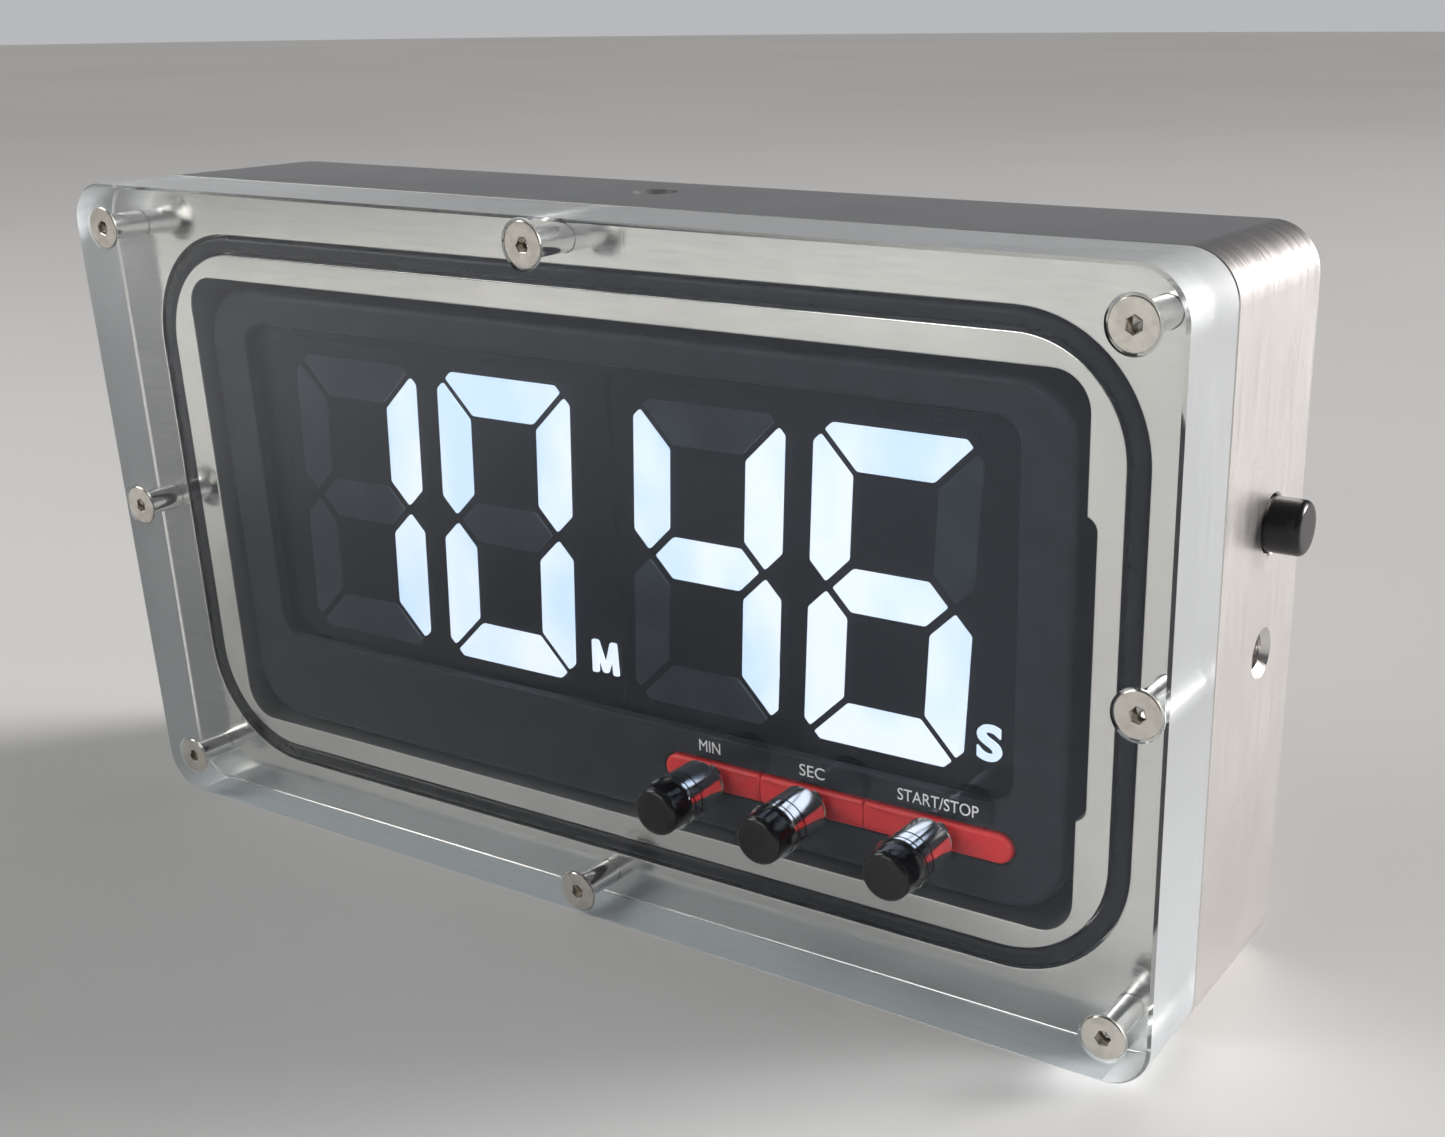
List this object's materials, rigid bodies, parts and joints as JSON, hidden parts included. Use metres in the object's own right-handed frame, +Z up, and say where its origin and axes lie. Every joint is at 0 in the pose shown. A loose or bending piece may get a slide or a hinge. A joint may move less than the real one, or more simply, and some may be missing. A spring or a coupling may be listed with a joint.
{
  "type": "sealed countdown timer",
  "caption": "Count-down timer with large lit digits sealed in a milled aluminium housing behind a thick clear window, worked by push plungers.",
  "frame": {"origin": "centre of the housing's flat bottom face, midway through the depth of the aluminium body", "axes": "+Z up, +X to the right as seen by someone reading the display, -Y out of the window towards the reader"},
  "size_m": [0.205, 0.0504, 0.1104],
  "materials": {
    "housing_aluminium": "bare milled aluminium: finely brushed outside, bright flat flange",
    "clear_acrylic": "clear cast acrylic: polished faces, satin sawn edges",
    "black_rubber": "smooth black nitrile rubber",
    "stainless_steel": "bright stainless steel",
    "plunger_black": "turned black acetal, semi-gloss",
    "case_black": "fine matt black ABS",
    "tinted_lens": "smoked clear plastic",
    "led_digits": "dark display block with bluish-white lit bars",
    "circuit_board": "green solder mask",
    "button_red": "satin red ABS",
    "switch_black": "matt black moulded plastic",
    "battery_sleeve": "plain dark printed sleeve",
    "contact_nickel": "nickel-plated spring steel",
    "case_screw_zinc": "zinc-plated steel"
  },
  "bodies": {
    "housing": {"housing_body": "housing_aluminium", "front_window": "clear_acrylic", "window_seal": "black_rubber", "window_screw_1": "stainless_steel", "window_screw_2": "stainless_steel", "window_screw_3": "stainless_steel", "window_screw_4": "stainless_steel", "window_screw_5": "stainless_steel", "window_screw_6": "stainless_steel", "window_screw_7": "stainless_steel", "window_screw_8": "stainless_steel", "min_spring": "stainless_steel", "sec_spring": "stainless_steel", "start_spring": "stainless_steel", "side_spring": "stainless_steel", "timer_front_case": "case_black", "timer_rear_case": "case_black", "battery_cover": "case_black", "display_lens": "tinted_lens", "minutes_display": "led_digits", "seconds_display": "led_digits", "circuit_board": "circuit_board", "min_switch": "switch_black", "sec_switch": "switch_black", "start_switch": "switch_black", "side_switch": "switch_black", "buzzer": "switch_black", "battery_1": "battery_sleeve", "battery_2": "battery_sleeve", "battery_3": "battery_sleeve", "battery_contact_left": "contact_nickel", "battery_contact_right": "contact_nickel", "case_screw_1": "case_screw_zinc", "case_screw_2": "case_screw_zinc", "case_screw_3": "case_screw_zinc", "case_screw_4": "case_screw_zinc"},
    "min_plunger_body": {"min_plunger": "plunger_black", "min_outer_seal": "black_rubber", "min_inner_seal": "black_rubber", "min_clip": "stainless_steel"},
    "sec_plunger_body": {"sec_plunger": "plunger_black", "sec_outer_seal": "black_rubber", "sec_inner_seal": "black_rubber", "sec_clip": "stainless_steel"},
    "start_plunger_body": {"start_plunger": "plunger_black", "start_outer_seal": "black_rubber", "start_inner_seal": "black_rubber", "start_clip": "stainless_steel"},
    "side_plunger_body": {"side_plunger": "plunger_black", "side_outer_seal": "black_rubber", "side_inner_seal": "black_rubber", "side_clip": "stainless_steel"},
    "min_button_body": {"min_button": "button_red", "min_switch_stem": "switch_black"},
    "sec_button_body": {"sec_button": "button_red", "sec_switch_stem": "switch_black"},
    "start_button_body": {"start_button": "button_red", "start_switch_stem": "switch_black"},
    "side_key_body": {"side_key": "case_black"}
  },
  "joints": [
    {"name": "min_plunger_slide", "type": "slide", "parent": "housing", "child": "min_plunger_body", "axis": [0, 1, 0], "range_m": [0, 0.001], "stiffness_N_per_m": 1200, "springref_m": -0.0005, "deforming": ["min_spring"]},
    {"name": "sec_plunger_slide", "type": "slide", "parent": "housing", "child": "sec_plunger_body", "axis": [0, 1, 0], "range_m": [0, 0.001], "stiffness_N_per_m": 1200, "springref_m": -0.0005, "deforming": ["sec_spring"]},
    {"name": "start_plunger_slide", "type": "slide", "parent": "housing", "child": "start_plunger_body", "axis": [0, 1, 0], "range_m": [0, 0.001], "stiffness_N_per_m": 1200, "springref_m": -0.0005, "deforming": ["start_spring"]},
    {"name": "side_plunger_slide", "type": "slide", "parent": "housing", "child": "side_plunger_body", "axis": [-1, 0, 0], "range_m": [0, 0.001], "stiffness_N_per_m": 1200, "springref_m": -0.0005, "deforming": ["side_spring"]},
    {"name": "min_button_slide", "type": "slide", "parent": "housing", "child": "min_button_body", "axis": [0, 1, 0], "range_m": [0, 0.001], "stiffness_N_per_m": 600},
    {"name": "sec_button_slide", "type": "slide", "parent": "housing", "child": "sec_button_body", "axis": [0, 1, 0], "range_m": [0, 0.001], "stiffness_N_per_m": 600},
    {"name": "start_button_slide", "type": "slide", "parent": "housing", "child": "start_button_body", "axis": [0, 1, 0], "range_m": [0, 0.001], "stiffness_N_per_m": 600},
    {"name": "side_key_slide", "type": "slide", "parent": "housing", "child": "side_key_body", "axis": [-1, 0, 0], "range_m": [0, 0.001], "stiffness_N_per_m": 600}
  ],
  "couplings": [
    {"joint": "min_button_slide", "follows": "min_plunger_slide", "ratio": 1},
    {"joint": "sec_button_slide", "follows": "sec_plunger_slide", "ratio": 1},
    {"joint": "start_button_slide", "follows": "start_plunger_slide", "ratio": 1},
    {"joint": "side_key_slide", "follows": "side_plunger_slide", "ratio": 1}
  ]
}
